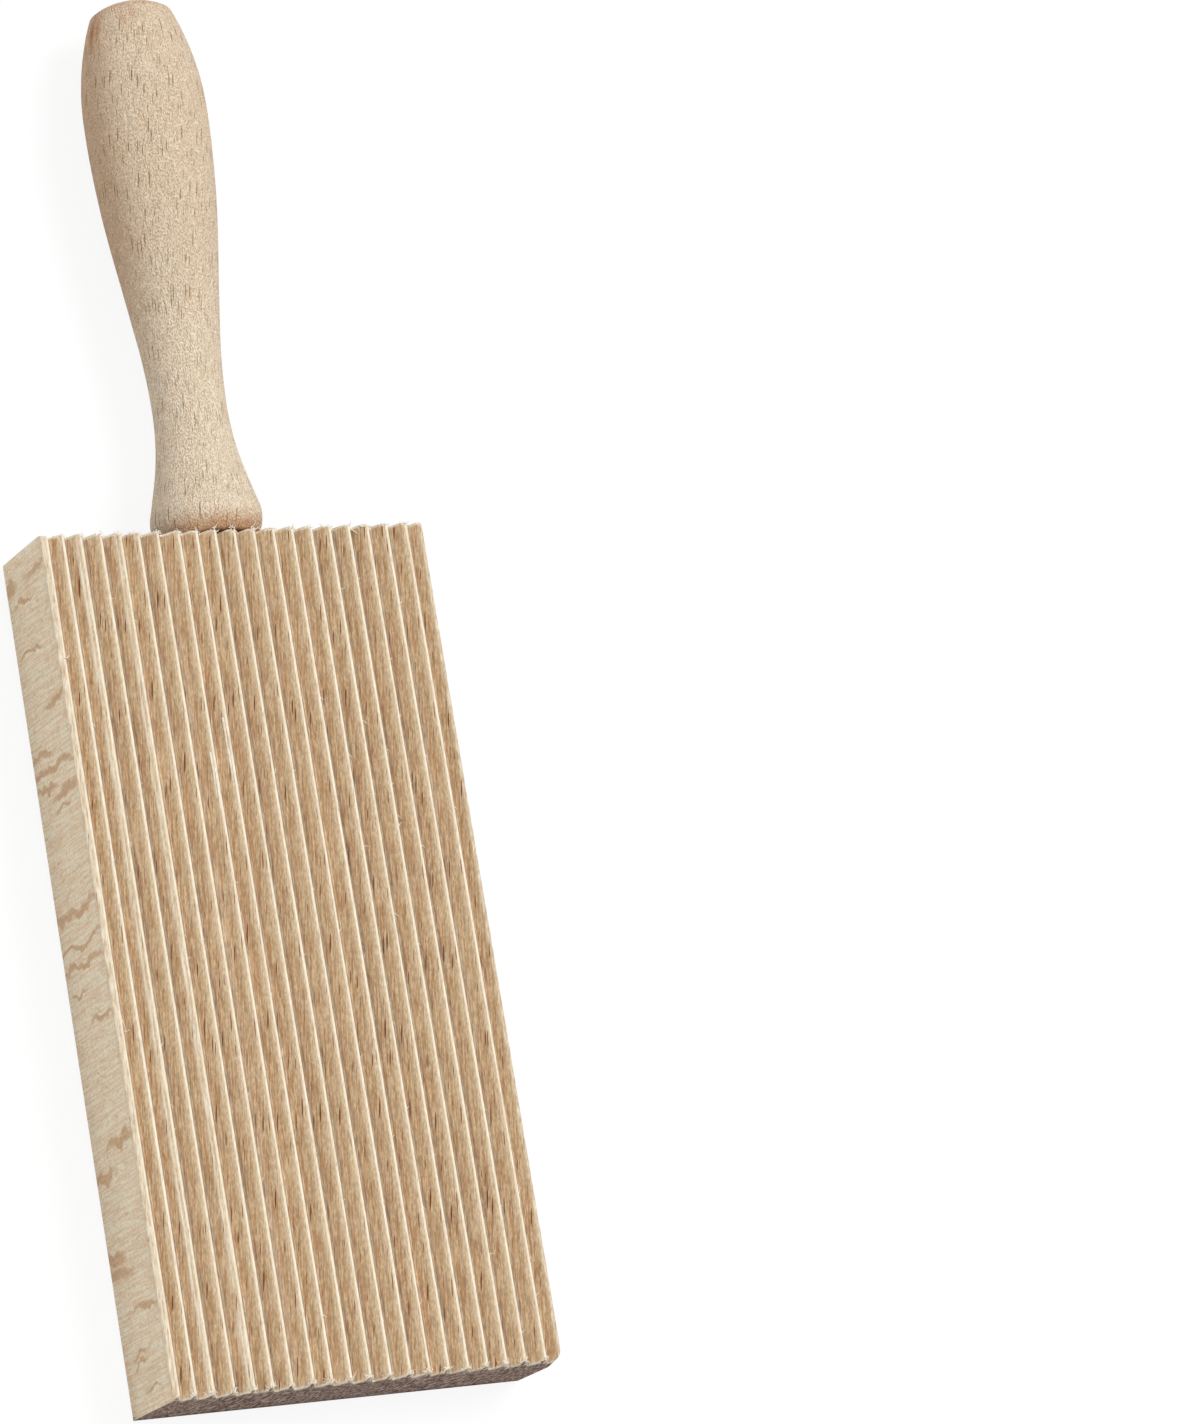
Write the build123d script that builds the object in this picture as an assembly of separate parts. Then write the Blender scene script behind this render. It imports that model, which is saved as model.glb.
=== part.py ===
from build123d import *
import math
import os

# Gnocchi board: a ribbed beech board with a turned handle glued into its end.
# Millimetres. X runs across the board, +Y from the board towards the handle's tip and +Z out of
# the ribbed face. The origin is the middle of the underside of the whole object's box.

# Board blank
board_width = 62.5
board_length = 130.0
board_thickness = 16.0
back_arris = 0.3

# Ribbed face: V grooves with a small nose, between ridges with a rounded top
groove_count = 20
groove_depth = 1.9
groove_nose_radius = 0.15
ridge_top_radius = 0.75

# Tenon joint between the handle and the board
tenon_diameter = 8.0
tenon_length = 22.0
tenon_end_chamfer = 0.8
glue_film_thickness = 0.15
glue_pocket_length = 1.5
bore_mouth_chamfer = 0.6
drill_point_angle = 118.0

# Turned handle, with heights measured along its axis from the board's end
handle_length = 87.0
bead_radius = 8.55
bead_height = 3.65
bead_section_radius = 5.5
neck_radius = 5.7
neck_height = 21.25
neck_section_radius = 96.0
belly_radius = 9.55
belly_height = 68.3
rim_radius = 6.35
rim_round = 0.8
crown_height = 2.0

# How much steeper than its chord each taper is, which leaves room for the arcs at its two ends
flare_steeper_share = 0.57
swell_steeper_share = 0.51

# Places that follow from the sizes above
overall_length = board_length + handle_length
far_end_y = -overall_length / 2
handle_end_y = far_end_y + board_length
axis_z = max(belly_radius, board_thickness / 2)
back_face_z = axis_z - board_thickness / 2
groove_pitch = board_width / groove_count
bore_radius = tenon_diameter / 2 + glue_film_thickness
bore_depth = tenon_length + glue_pocket_length


def flank_angle():
    """Slope of a groove's flank, tangent to the ridge's top and to the groove's nose."""
    both_radii = ridge_top_radius + groove_nose_radius
    across = groove_pitch / 2
    down = both_radii - groove_depth
    return math.asin(both_radii / math.hypot(across, down)) - math.atan2(down, across)


def groove_outline(centre_x):
    """Edges of one groove's section, from the ridge top on its left to the one on its right."""
    slope = flank_angle()
    degrees = math.degrees(slope)
    left_x = centre_x - groove_pitch / 2
    right_x = centre_x + groove_pitch / 2
    ridge_z = board_thickness - ridge_top_radius
    nose_z = board_thickness - groove_depth + groove_nose_radius
    ridge_run = ridge_top_radius * math.sin(slope)
    ridge_rise = ridge_top_radius * math.cos(slope)
    nose_run = groove_nose_radius * math.sin(slope)
    nose_drop = groove_nose_radius * math.cos(slope)
    return [
        CenterArc((left_x, ridge_z), ridge_top_radius, 90, -degrees),
        Line((left_x + ridge_run, ridge_z + ridge_rise), (centre_x - nose_run, nose_z - nose_drop)),
        CenterArc((centre_x, nose_z), groove_nose_radius, 270 - degrees, 2 * degrees),
        Line((centre_x + nose_run, nose_z - nose_drop), (right_x - ridge_run, ridge_z + ridge_rise)),
        CenterArc((right_x, ridge_z), ridge_top_radius, 90 + degrees, -degrees),
    ]


def board_section():
    """Closed section of the board across its length, with its back face on the local X axis."""
    left_x = -board_width / 2
    right_x = board_width / 2
    edges = []
    for number in range(groove_count):
        edges += groove_outline(left_x + groove_pitch * (number + 0.5))
    left_top = (left_x, board_thickness)
    right_top = (right_x, board_thickness)
    edges.append(Polyline(left_top, (left_x, 0), (right_x, 0), right_top))
    return make_face(edges)


def bore():
    """The blind hole for the tenon: a drilled hole with its point, widened at its mouth."""
    point_length = bore_radius / math.tan(math.radians(drill_point_angle / 2))
    outline = Polyline(
        (0, 0),
        (bore_radius + bore_mouth_chamfer, 0),
        (bore_radius, -bore_mouth_chamfer),
        (bore_radius, -bore_depth),
        (0, -bore_depth - point_length),
        close=True,
    )
    return on_handle_axis(revolve(make_face(outline), Axis.Y))


def on_handle_axis(shape):
    """Moves a shape turned about the origin's Y axis to the handle's axis at the board's end."""
    return Location((0, handle_end_y, axis_z)) * shape


def grooved_board():
    """The board: a grooved blank with eased back edges and the bore for the handle's tenon."""
    section = Plane.XZ * board_section()
    blank = Location((0, far_end_y, back_face_z)) * extrude(section, -board_length)
    back = blank.faces().sort_by(Axis.Z)[0]
    blank = chamfer(back.edges(), back_arris)
    return blank - bore()


def tapered_sweep(start, end, steeper_share, first_radius):
    """Arc, straight taper and arc between two places where the handle's side runs along its axis."""
    rise = end[1] - start[1]
    step = abs(end[0] - start[0])
    angle = math.degrees(math.atan2(step, rise)) * (1 + steeper_share)
    sine = math.sin(math.radians(angle))
    cosine = math.cos(math.radians(angle))
    both_radii = (rise * sine - step * cosine) / (1 - cosine)
    turn = angle if end[0] < start[0] else -angle
    first = JernArc(start, (0, 1), first_radius, turn)
    taper = PolarLine(first @ 1, (rise - both_radii * sine) / cosine, direction=first % 1)
    last = JernArc(taper @ 1, taper % 1, both_radii - first_radius, -turn)
    return [first, taper, last]


def handle_outline():
    """Edges of the handle's half section: X is the radius and Y the height over the board's end."""
    tenon_radius = tenon_diameter / 2
    bead = (bead_radius, bead_height)
    neck = (neck_radius, neck_height)
    belly = (belly_radius, belly_height)
    rim = (rim_radius, handle_length - crown_height)
    tip = (0, handle_length)
    foot_angle = math.asin(bead_height / bead_section_radius)
    foot_radius = bead_radius - bead_section_radius * (1 - math.cos(foot_angle))
    bead_centre = (bead_radius - bead_section_radius, bead_height)
    foot_degrees = math.degrees(foot_angle)
    foot = CenterArc(bead_centre, bead_section_radius, -foot_degrees, foot_degrees)
    flare = tapered_sweep(bead, neck, flare_steeper_share, bead_section_radius)
    swell = tapered_sweep(neck, belly, swell_steeper_share, neck_section_radius)
    shoulder = TangentArc(belly, rim, tangent=(0, 1))
    crown = TangentArc(tip, rim, tangent=(1, 0))
    tenon = Polyline(
        tip,
        (0, -tenon_length),
        (tenon_radius - tenon_end_chamfer, -tenon_length),
        (tenon_radius, tenon_end_chamfer - tenon_length),
        (tenon_radius, 0),
        (foot_radius, 0),
    )
    return [tenon, foot, *flare, *swell, shoulder, crown]


def turned_handle():
    """The handle and its tenon, turned in one piece."""
    profile = make_face(handle_outline())
    rim = profile.vertices().sort_by_distance((rim_radius, handle_length - crown_height))[0]
    return on_handle_axis(revolve(fillet(rim, rim_round), Axis.Y))


def tenon_glue(handle):
    """The cured glue: the film round the tenon, its ring at the mouth and its pocket at the end."""
    return bore() - handle


handle = turned_handle()
parts = {
    "grooved_board": grooved_board(),
    "turned_handle": handle,
    "tenon_glue": tenon_glue(handle),
}

os.makedirs("parts", exist_ok=True)
for name, shape in parts.items():
    shape.label = name
    export_step(shape, f"parts/{name}.step")
    print(name, round(shape.volume), "mm3")
print("groove pitch", groove_pitch, "flank angle", round(math.degrees(flank_angle()), 1))
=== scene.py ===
import logging
import math
import random
from dataclasses import dataclass
from enum import Enum

import bpy
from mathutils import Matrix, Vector, noise


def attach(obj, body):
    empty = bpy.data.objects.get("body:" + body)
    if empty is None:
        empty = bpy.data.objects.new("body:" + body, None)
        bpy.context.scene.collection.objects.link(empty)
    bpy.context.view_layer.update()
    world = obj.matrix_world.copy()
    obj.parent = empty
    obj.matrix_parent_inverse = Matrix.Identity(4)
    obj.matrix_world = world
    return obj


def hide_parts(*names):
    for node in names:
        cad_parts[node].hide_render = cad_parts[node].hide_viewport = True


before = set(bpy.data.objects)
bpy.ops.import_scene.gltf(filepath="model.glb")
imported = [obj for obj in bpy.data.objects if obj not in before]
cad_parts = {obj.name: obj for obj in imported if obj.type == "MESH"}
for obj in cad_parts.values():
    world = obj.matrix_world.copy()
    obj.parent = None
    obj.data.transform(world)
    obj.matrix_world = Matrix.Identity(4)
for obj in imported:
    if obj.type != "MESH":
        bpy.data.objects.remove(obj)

# Looks of the gnocchi board: a ribbed beech board with a turned beech handle glued into its end.
# Sizes are in millimetres, in the CAD's frame: X across the board, +Y towards the handle's tip and
# +Z out of the ribbed face. Meshes are in metres.
MM = 0.001

# A radius and a height over the board's end, in the handle's section
Station = tuple[float, float]
Point = tuple[float, float, float]
Colour = tuple[float, float, float, float]
Socket = bpy.types.NodeSocket
# What a node's input takes: a number, a few numbers or the socket that feeds it
Feed = float | Point | Colour | Socket


class Slot(Enum):
    """Names for the new pieces' material slots, which nothing here uses."""

    BOARD = "beech_board"
    HANDLE = "beech_handle"


class Cut(Enum):
    """How a beech surface was made."""

    MOULDED = "beech_moulded_ribs"
    SAWN = "beech_sawn_edge"
    CROSSCUT = "beech_crosscut_end"
    PLANED = "beech_planed_back"
    SANDED = "beech_turned_and_sanded"
    TORN = "beech_torn_fibres"


class Spread(Enum):
    """Which way a surface is laid flat for the dashes on it."""

    FACE = "across the board and along it"
    END = "across the board and up its end"
    TURNED = "round the handle's axis and along it"


class Mark(Enum):
    """Shares from 0 to 1 at each vertex: marks of the wood, and painted light and shade."""

    # Torn fibres, and painted light at the foot of the ribs' left-facing flanks
    TORN = "torn_and_painted_light"
    # Wear on the crests, and painted shade on the handle's belly
    WORN = "worn_and_painted_shade"
    # Stains, and painted reflected light and shade round the handle's foot
    STAIN = "stain_and_painted_reflection"
    # Painted shade: the grooves' notches, the far end's lower arris and the handle's foot
    DEEP = "deep"


def srgb(code: str) -> Colour:
    """Turns an sRGB hex colour into the linear colour that a shader takes.

    Args:
        code: the colour as six hex digits.

    Returns:
        Red, green, blue and alpha.
    """
    shares = [int(code[i:i + 2], 16) / 255 for i in (0, 2, 4)]
    linear = [c / 12.92 if c <= 0.04045 else ((c + 0.055) / 1.055) ** 2.4 for c in shares]
    return (*linear, 1.0)


def grey(shade: float) -> Colour:
    """A plain grey, as a shader takes it."""
    return (shade, shade, shade, 1.0)


def wander(*place: float) -> float:
    """Smooth noise from -1 to 1 at a place with one, two or three coordinates.

    Args:
        *place: lengths divided by the length of a swell, and numbers that keep patterns apart.

    Returns:
        The noise, which is 0 where all three coordinates are whole.
    """
    return noise.noise(Vector((*place, 0.37, 0.71)[:3]))


def smooth_step(low: float, high: float, value: float) -> float:
    """Goes smoothly from 0 at low to 1 at high."""
    share = min(max((value - low) / (high - low), 0.0), 1.0)
    return share * share * (3 - 2 * share)


def hump(value: float, middle: float, reach: float, power: int = 2) -> float:
    """Goes smoothly from 1 at the middle to 0 past its reach, with a flat top for a high power."""
    return math.exp(-(((value - middle) / reach) ** power))


def deselect() -> None:
    """Leaves nothing selected, so that an operator touches only its own piece."""
    if bpy.context.object and bpy.context.object.mode != "OBJECT":
        bpy.ops.object.mode_set(mode="OBJECT")
    bpy.ops.object.select_all(action="DESELECT")


def make_active(piece: bpy.types.Object) -> None:
    """Selects one piece alone and makes it the active one."""
    deselect()
    piece.select_set(True)
    bpy.context.view_layer.objects.active = piece


def write_marks(piece: bpy.types.Object, marks: dict[Mark, list[float]]) -> None:
    """Keeps each mark's shares on the mesh, under the name that the materials read."""
    for mark, shares in marks.items():
        layer = piece.data.attributes.new(mark.value, "FLOAT", "POINT")
        layer.data.foreach_set("value", shares)


# ---------------------------------------------------------------------------------------- materials


@dataclass
class NodeTree:
    """The node tree of a material or the world, and the one way that nodes are added to it."""

    tree: bpy.types.NodeTree

    @classmethod
    def emptied(cls, owner: bpy.types.Material | bpy.types.World) -> "NodeTree":
        """Turns on the nodes of a material or the world and clears them."""
        owner.use_nodes = True
        owner.node_tree.nodes.clear()
        return cls(owner.node_tree)

    def add(self, kind: str, inputs: dict | None = None, **settings: object) -> bpy.types.Node:
        """Adds a node with its settings and links.

        Args:
            kind: the node's type, without the word ShaderNode.
            inputs: for each input's name or number, a value or the socket that feeds it.
            **settings: the node's own settings.

        Returns:
            The new node.
        """
        node = self.tree.nodes.new("ShaderNode" + kind)
        for name, value in settings.items():
            setattr(node, name, value)
        for name, value in (inputs or {}).items():
            if isinstance(value, Socket):
                self.tree.links.new(value, node.inputs[name])
            else:
                node.inputs[name].default_value = value
        return node

    def mix(self, share: Feed, first: Feed, second: Feed, blend: str = "MIX") -> Socket:
        """Mixes two colours.

        Args:
            share: how much of the second there is.
            first: one colour.
            second: the other colour.
            blend: the node's way of mixing them.

        Returns:
            The mixed colour's socket.
        """
        # By number: the node has inputs of the same names for other kinds of value
        inputs = {0: share, 6: first, 7: second}
        return self.add("Mix", inputs, data_type="RGBA", blend_type=blend).outputs[2]

    def math(self, operation: str, *values: Feed) -> Socket:
        """Does one sum on one to three values and returns its socket."""
        return self.add("Math", dict(enumerate(values)), operation=operation).outputs[0]

    def span(
        self, value: Feed, low: float, high: float, start: float = 0.0, end: float = 1.0
    ) -> Socket:
        """Maps a value smoothly from one range to another, and holds it there.

        Args:
            value: the value's socket.
            low: where the first range starts.
            high: where it ends.
            start: where the second range starts.
            end: where it ends.

        Returns:
            The mapped value's socket.
        """
        node = self.add(
            "MapRange",
            {"Value": value, "From Min": low, "From Max": high, "To Min": start, "To Max": end},
            interpolation_type="SMOOTHSTEP",
        )
        return node.outputs["Result"]

    def grain_space(self, coordinates: Socket, cell: Point, turn: float) -> Socket:
        """Coordinates that run along the grain and count cells of a pattern.

        Args:
            coordinates: the object's coordinates, in metres.
            cell: the pattern's cell, across the grain, along it and through it.
            turn: the angle of the grain against the piece's length, in degrees.

        Returns:
            The socket of the turned and scaled coordinates.
        """
        rotation = (0, 0, math.radians(turn))
        turned = self.add("Mapping", {"Vector": coordinates, "Rotation": rotation})
        scale = tuple(1 / (size * MM) for size in cell)
        return self.add("Mapping", {"Vector": turned.outputs[0], "Scale": scale}).outputs[0]

    def mark(self, mark: Mark) -> Socket:
        """The mesh's shares of one mark."""
        settings = {"attribute_name": mark.value, "attribute_type": "GEOMETRY"}
        return self.add("Attribute", **settings).outputs["Fac"]

    def cloud(
        self, coordinates: Socket, cell: Point, turn: float = 0.0, detail: float = 2.0,
        roughness: float = 0.5,
    ) -> Socket:
        """Noise with one swell to a cell.

        Args:
            coordinates: the object's coordinates, in metres.
            cell: the swell, across the grain, along it and through it.
            turn: the angle of the grain against the piece's length, in degrees.
            detail: how many finer octaves it has.
            roughness: how strong each of them is.

        Returns:
            The noise's socket.
        """
        space = self.grain_space(coordinates, cell, turn)
        inputs = {"Vector": space, "Scale": 1.0, "Detail": detail, "Roughness": roughness}
        return self.add("TexNoise", inputs).outputs["Fac"]


@dataclass(frozen=True)
class Dash:
    """Dark lens-shaped marks along the grain, at most one to each cell of a loose grid.

    The cell is in millimetres: across the grain and along it. The size is half the mark's mean
    width and length as a share of its cell, and kept is the share of the cells that hold one.
    """

    cell: tuple[float, float]
    size: float = 0.12
    kept: float = 0.7
    strength: float = 0.8


@dataclass(frozen=True)
class Beech:
    """Beech as a solid pattern: streaks along the grain, ray flecks, and what the cut adds.

    Colours are sRGB hex codes. grain_turn is the angle of the grain against the piece's length.
    Cells are in millimetres: across the grain, along it and through the piece. The mesh says where
    the wood is torn, worn or stained, and where light and shade are painted: the deep colour is
    painted shade, and torn, worn and stain are also painted light and shade in places.
    """

    cut: Cut
    spread: Spread
    pale: str
    tan: str
    fleck: str
    dashes: tuple[Dash, ...] = ()
    torn_and_painted_light: str = "fff7e2"
    worn_and_painted_shade: str = "cdb798"
    stain_and_painted_reflection: str = "c08a58"
    warm: str = "cf9f78"
    # The colour of painted shade, multiplied in where the deep mark says
    deep: str = "a8aab0"
    grain_turn: float = 5.5
    streak_cell: Point = (0.24, 7.0, 0.5)
    streak_from: float = 0.4
    streak_to: float = 0.6
    ring_cell: Point = (0.6, 60.0, 1.2)
    warm_share: float = 0.2
    worn_and_shade_share: float = 0.7
    mottle_cell: Point = (0.24, 0.5, 0.24)
    mottle_share: float = 0.1
    # How much more or less the mottle shades red, green and blue
    mottle_tint: Point = (0.8, 1.0, 1.25)
    fray_cell: Point = (0.16, 1.6, 0.16)
    bump_depth: float = 0.05
    mark_depth: float = 0.025
    roughness: float = 0.72
    axis_height: float = 9.55
    mean_radius: float = 7.5

    def marks(self, nodes: NodeTree, place: Socket) -> Feed:
        """Ray flecks cut across: thin dark dashes along the grain.

        Args:
            nodes: the material's node tree.
            place: the object's coordinates.

        Returns:
            The share of the fleck's colour at each point.
        """
        shown = 0.0
        flat = self.laid_flat(nodes, place)
        for dash in self.dashes:
            space = nodes.grain_space(flat, (*dash.cell, 1.0), self.grain_turn)
            cells = nodes.add(
                "TexVoronoi", {"Vector": space, "Scale": 1.0, "Randomness": 0.85},
                voronoi_dimensions="2D",
            )
            # Each cell draws whether it holds a mark, and how big that is
            draws = nodes.add("SeparateColor", {0: cells.outputs["Color"]})
            reach = nodes.math("MULTIPLY_ADD", draws.outputs[1], dash.size, dash.size * 0.5)
            away = nodes.math("DIVIDE", cells.outputs["Distance"], reach)
            held = nodes.math("LESS_THAN", draws.outputs[0], dash.kept)
            mark = nodes.math("MULTIPLY", nodes.span(away, 1.0, 0.6, 0.0, dash.strength), held)
            shown = nodes.math("MAXIMUM", shown, mark)
        return shown

    def laid_flat(self, nodes: NodeTree, place: Socket) -> Socket:
        """The surface's own coordinates, across its grain and along it.

        Args:
            nodes: the material's node tree.
            place: the object's coordinates.

        Returns:
            The socket of the coordinates, of which the third means nothing.
        """
        if self.spread is Spread.FACE:
            return place
        x, y, z = nodes.add("SeparateXYZ", {0: place}).outputs
        if self.spread is Spread.END:
            return nodes.add("CombineXYZ", {"X": x, "Y": z}).outputs[0]
        around = nodes.math("ARCTAN2", x, nodes.math("SUBTRACT", z, self.axis_height * MM))
        girth = nodes.math("MULTIPLY", around, self.mean_radius * MM)
        return nodes.add("CombineXYZ", {"X": girth, "Y": y}).outputs[0]

    def mottled(self, nodes: NodeTree, colour: Socket, mottle: Socket) -> Socket:
        """Shades a colour by the mottle, of which the darker spots are warmer.

        Args:
            nodes: the material's node tree.
            colour: the colour's socket.
            mottle: the mottle's socket.

        Returns:
            The shaded colour's socket.
        """
        swings = [tint * self.mottle_share for tint in self.mottle_tint]
        shares = [nodes.span(mottle, 0.35, 0.65, 1 - swing, 1 + swing) for swing in swings]
        shade = nodes.add("CombineColor", dict(enumerate(shares)))
        return nodes.mix(1.0, colour, shade.outputs[0], "MULTIPLY")

    def material(self) -> bpy.types.Material:
        """Builds the material.

        Returns:
            The material, named for the wood and its cut.
        """
        made = bpy.data.materials.new(self.cut.value)
        nodes = NodeTree.emptied(made)
        place = nodes.add("TexCoord").outputs["Object"]

        # Fine streaks along the grain: the vessels and fibres. On a sawn edge the streaks run
        # across it, as the saw left them
        streak = nodes.cloud(place, self.streak_cell, self.grain_turn, 1.5, 0.6)
        grain = nodes.span(streak, self.streak_from, self.streak_to)
        colour = nodes.mix(grain, srgb(self.tan), srgb(self.pale))

        # Warm and cool bands: the growth rings, some of them under a millimetre across
        band = nodes.cloud(place, self.ring_cell, self.grain_turn, 3.0, 0.6)
        warm = nodes.math("MULTIPLY", nodes.span(band, 0.4, 0.62), self.warm_share)
        colour = nodes.mix(warm, colour, srgb(self.warm))

        # Hands and dough rub the crests greyer. On the handle the same mark is painted shade: the
        # belly's left side, away from the key light, darker and warmer, and the rest of the belly a
        # little warmer
        rubbed = nodes.math("MULTIPLY", nodes.mark(Mark.WORN), self.worn_and_shade_share)
        colour = nodes.mix(rubbed, colour, srgb(self.worn_and_painted_shade))

        # Heat and sap leave brown stains. Round the handle's foot the mark is painted reflected
        # light and shade from the board
        colour = nodes.mix(nodes.mark(Mark.STAIN), colour, srgb(self.stain_and_painted_reflection))

        # The rays, cut across or lengthwise
        dash = self.marks(nodes, place)
        colour = nodes.mix(dash, colour, srgb(self.fleck))

        # Sand-like mottle: the ends of pores and the scratches of the tool. The real ones are a
        # tenth of a millimetre, which is too fine to show, so these are coarser
        mottle = nodes.cloud(place, self.mottle_cell, self.grain_turn, 1.0, 0.5)
        colour = self.mottled(nodes, colour, mottle)

        # Painted shade: darker notches in the grooves, the far end's lower arris and the gap at the
        # handle's foot
        colour = nodes.mix(nodes.mark(Mark.DEEP), colour, srgb(self.deep), "MULTIPLY")

        # Torn fibres along shoulders and ends are pale: light scatters in them. At the foot of the
        # ribs' left-facing flanks the same mark is painted light, which lifts their shade
        fray = nodes.cloud(place, self.fray_cell, self.grain_turn, 2.0, 0.6)
        frayed = nodes.span(fray, 0.3, 0.55, 0.45, 1.0)
        torn_and_painted_light = nodes.math("MULTIPLY", nodes.mark(Mark.TORN), frayed)
        colour = nodes.mix(torn_and_painted_light, colour, srgb(self.torn_and_painted_light))

        # The grain stands up by the bump's depth; rays lie a little below it, torn fibres above
        relief = nodes.math("MULTIPLY_ADD", streak, 0.6, mottle)
        height = nodes.math("MULTIPLY", relief, self.bump_depth * MM)
        marked = nodes.math("MULTIPLY", nodes.math("SUBTRACT", torn_and_painted_light, dash), self.mark_depth * MM)
        height = nodes.math("ADD", height, marked)
        bump = nodes.add("Bump", {"Height": height, "Strength": 1.0, "Distance": 1.0})
        shader = nodes.add(
            "BsdfPrincipled",
            {
                "Base Color": colour,
                "Roughness": self.roughness,
                "IOR": 1.5,
                "Specular IOR Level": 0.25,
                "Normal": bump.outputs[0],
            },
        )
        nodes.add("OutputMaterial", {"Surface": shader.outputs[0]})
        return made


@dataclass(frozen=True)
class Fleck:
    """A ray lengthwise on a sawn edge: its middle, half its width and half its height."""

    y: float
    z: float
    wide: float
    tall: float


@dataclass(frozen=True)
class SawnBeech(Beech):
    """Beech sawn along its rays, which show as wavy brown bands across the grain.

    The rays sway by up to half of sway. ray_lean is how far along the board they come out per
    millimetre across it, counted from the left edge, where their places are known.
    """

    flecks: tuple[Fleck, ...] = ()
    fleck_strength: float = 0.6
    sway: float = 5.0
    sway_cell: Point = (9.0, 7.0, 4.5)
    ray_lean: float = 0.31
    left_edge: float = 31.25
    thin_cell: Point = (2.0, 0.34, 3.5)
    thin_strength: float = 0.45
    ragged_cell: Point = (2.0, 0.7, 1.6)
    raggedness: float = 1.1

    def bent(self, nodes: NodeTree, place: Socket) -> Socket:
        """Sways and leans the coordinates, so that straight rays turn out wavy.

        Args:
            nodes: the material's node tree.
            place: the object's coordinates.

        Returns:
            The socket of the new coordinates.
        """
        wave = nodes.cloud(place, self.sway_cell)
        sway = nodes.math("MULTIPLY", nodes.math("SUBTRACT", wave, 0.5), self.sway * MM)
        x = nodes.add("SeparateXYZ", {0: place}).outputs[0]
        lean = nodes.math("MULTIPLY_ADD", x, self.ray_lean, self.ray_lean * self.left_edge * MM)
        shift = nodes.add("CombineXYZ", {"Y": nodes.math("ADD", sway, lean)})
        inputs = {0: place, 1: shift.outputs[0]}
        return nodes.add("VectorMath", inputs, operation="ADD").outputs[0]

    def marks(self, nodes: NodeTree, place: Socket) -> Feed:
        """Rays cut lengthwise: the placed bands, and thin ones everywhere.

        Args:
            nodes: the material's node tree.
            place: the object's coordinates.

        Returns:
            The share of the fleck's colour at each point.
        """
        bent = self.bent(nodes, place)
        thin = nodes.cloud(bent, self.thin_cell, 0.0, 1.0, 0.5)
        shown = nodes.span(thin, 0.58, 0.72, 0.0, self.thin_strength)
        ragged = nodes.cloud(bent, self.ragged_cell, 0.0, 2.0, 0.6)
        rough = nodes.math("MULTIPLY", ragged, self.raggedness)
        for fleck in self.flecks:
            scale = (0, 1 / (fleck.wide * MM), 1 / (fleck.tall * MM))
            start = (0, -fleck.y / fleck.wide, -fleck.z / fleck.tall)
            local = nodes.add("Mapping", {"Vector": bent, "Location": start, "Scale": scale})
            length = nodes.add("VectorMath", {0: local.outputs[0]}, operation="LENGTH")
            edge = nodes.math("ADD", length.outputs["Value"], rough)
            shown = nodes.math("MAXIMUM", shown, nodes.span(edge, 2.1, 1.2))
        return nodes.math("MULTIPLY", shown, self.fleck_strength)


# ------------------------------------------------------------------------------------------- board


@dataclass(frozen=True)
class RibSection:
    """Section of the ribbed face across the board, as a height below the crests.

    land is the flat to the right of each ridge's centre and edge_flat the one by the left edge.
    """

    centres: tuple[float, ...]
    depth: float = 1.9
    top_radius: float = 0.75
    flank_angle: float = 61.6
    shoulder_radius: float = 0.2
    land: float = 0.33
    edge_flat: float = 0.6

    def side_drop(self, away: float, radius: float, flat: float) -> float:
        """Drop of one side of a ridge: flat, then round, then the straight flank.

        Args:
            away: distance from the ridge's centre.
            radius: radius of the round between the flat and the flank.
            flat: half width of the flat.

        Returns:
            How far the surface lies below the crest.
        """
        slope = math.radians(self.flank_angle)
        reach = away - flat
        if reach <= 0:
            return 0.0
        if reach < radius * math.sin(slope):
            return radius - math.sqrt(radius * radius - reach * reach)
        return radius * (1 - math.cos(slope)) + (reach - radius * math.sin(slope)) * math.tan(slope)

    def drop(self, across: float) -> float:
        """How far the ribbed face lies below the crests.

        Args:
            across: distance from the left edge.

        Returns:
            The drop, which is never more than the grooves' depth.
        """
        number = self.ridge_at(across)
        drops = []
        for centre in self.centres[max(number - 1, 0):number + 2]:
            if across < centre:
                flat = self.edge_flat if centre == self.centres[0] else 0.0
                drops.append(self.side_drop(centre - across, self.top_radius, flat))
            else:
                drops.append(self.side_drop(across - centre, self.shoulder_radius, self.land))
        return min(min(drops), self.depth)

    def ridge_at(self, across: float) -> int:
        """Number of the ridge nearest to a distance from the board's left edge."""
        return min(range(len(self.centres)), key=lambda n: abs(self.centres[n] - across))


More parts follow.
